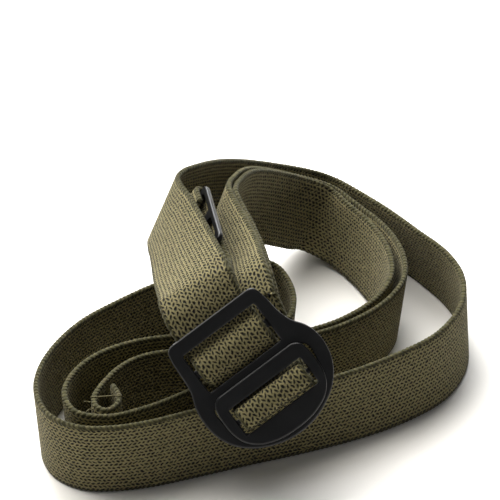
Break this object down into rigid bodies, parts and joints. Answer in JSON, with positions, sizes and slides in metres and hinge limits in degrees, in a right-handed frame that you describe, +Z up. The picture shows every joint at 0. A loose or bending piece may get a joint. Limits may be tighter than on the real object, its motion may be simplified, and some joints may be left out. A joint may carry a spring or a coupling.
{
  "type": "webbing belt",
  "caption": "Long flat webbing belt coiled on its edge, its doubled end run through a closed two-part interlocking buckle with a flat slider between the layers.",
  "frame": {"origin": "bottom centre of the bounding box, on the floor", "axes": "+Z up; -Y towards the side where the buckle lies; +X to the right seen from that side"},
  "size_m": [0.2074, 0.223, 0.1],
  "materials": {
    "webbing": "coarse woven cotton, matte",
    "black_metal": "satin black coating"
  },
  "bodies": {
    "root": {"webbing_strap": "webbing", "buckle_frame": "black_metal", "buckle_plate": "black_metal", "strap_slider": "black_metal"}
  },
  "joints": []
}
